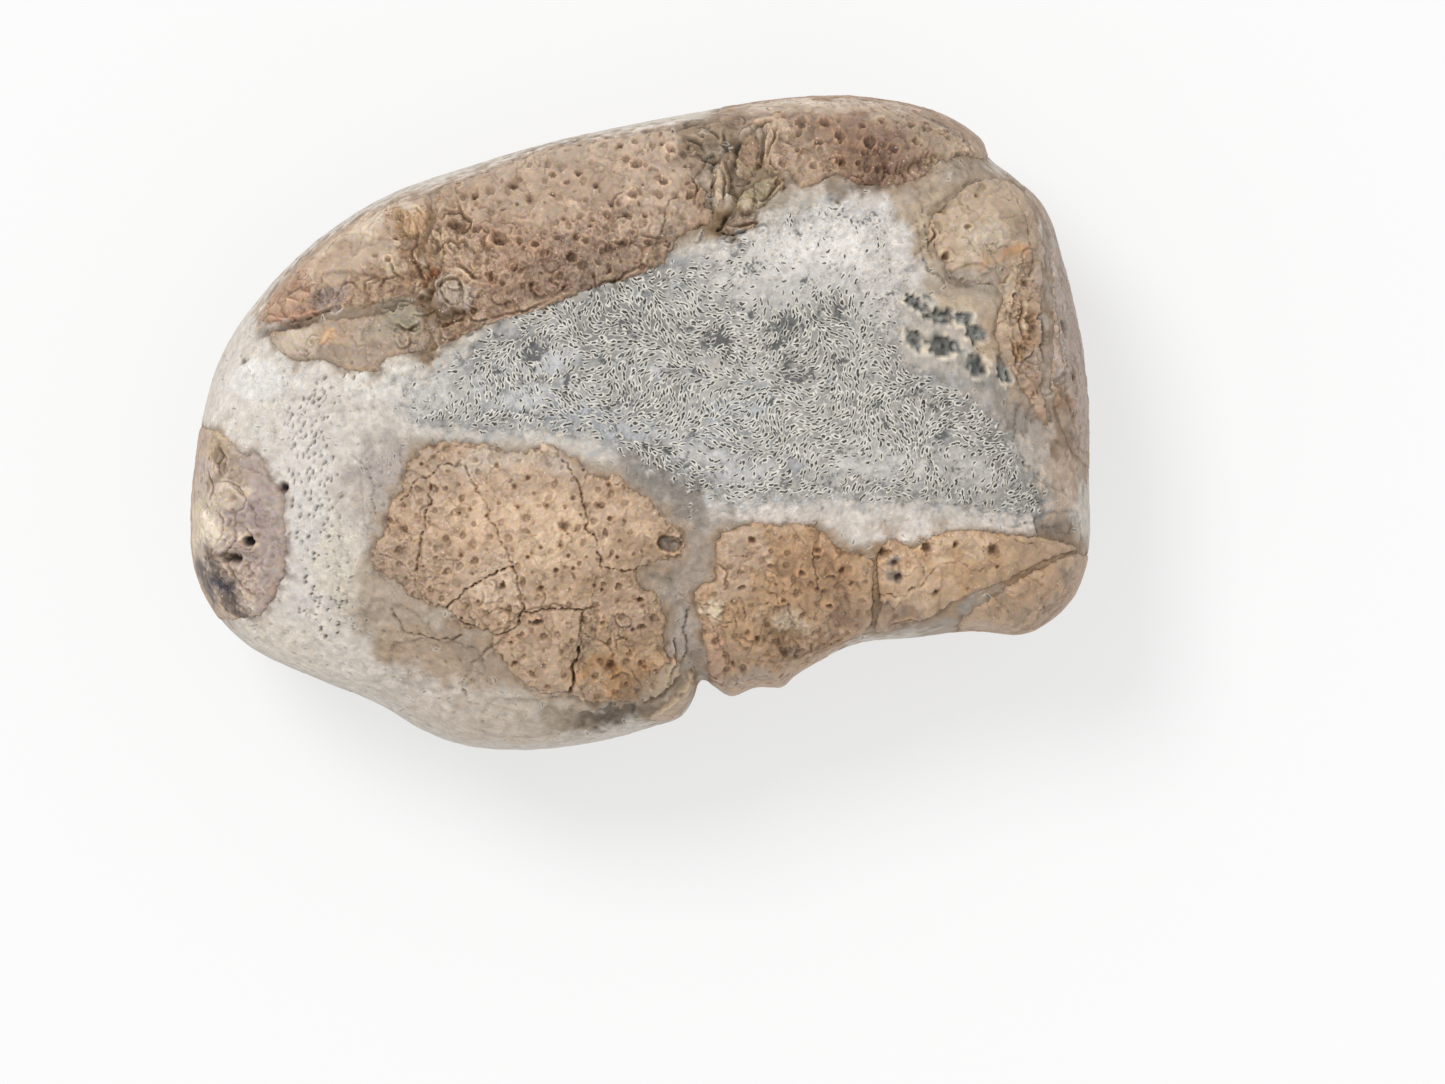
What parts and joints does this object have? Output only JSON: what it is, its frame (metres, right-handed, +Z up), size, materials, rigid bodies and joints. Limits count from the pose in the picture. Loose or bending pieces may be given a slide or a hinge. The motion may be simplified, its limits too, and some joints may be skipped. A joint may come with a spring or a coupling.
{
  "type": "fossil lobster nodule",
  "caption": "Smooth oval stone nodule split by wear to show the pitted, knobbly shell plates of a fossil lobster's two claws around a porous grey core.",
  "frame": {"origin": "on the surface that the stone rests on, under the middle of its bounding box", "axes": "+X along the stone towards its squarer end, +Y towards the upper claw, +Z up out of the fossil face"},
  "size_m": [0.0482, 0.035, 0.0212],
  "materials": {
    "nodule": "weathered phosphatic stone: cream and grey rind, bluish-grey porous core, matt",
    "claw_shell": "fossil shell, brown and tan, knobbly, with a dull sheen",
    "sandy_shell": "fossil shell, sandy tan with darker pits, dull sheen",
    "dark_shell": "fossil shell, dark brown with ring-shaped knobs, dull sheen",
    "smooth_shell": "worn smooth fossil shell, tan with orange stains",
    "olive_shell": "worn smooth fossil shell, olive brown",
    "pale_shell": "pale cream fossil shell",
    "leg_filling": "cut and worn limb, cream shell round a purplish-grey filling"
  },
  "bodies": {
    "root": {"nodule_matrix": "nodule", "claw_palm": "claw_shell", "movable_finger": "claw_shell", "fixed_finger": "smooth_shell", "wrist_strip": "pale_shell", "wrist_oval": "claw_shell", "wrist_scale": "olive_shell", "wrist_splinter": "olive_shell", "arm_plate": "dark_shell", "shoulder_plate": "smooth_shell", "side_plate": "claw_shell", "second_palm": "sandy_shell", "second_wrist": "dark_shell", "shell_chip": "pale_shell", "second_arm": "sandy_shell", "second_arm_fragment": "claw_shell", "flank_splinter": "pale_shell", "leg_section": "leg_filling"}
  },
  "joints": []
}
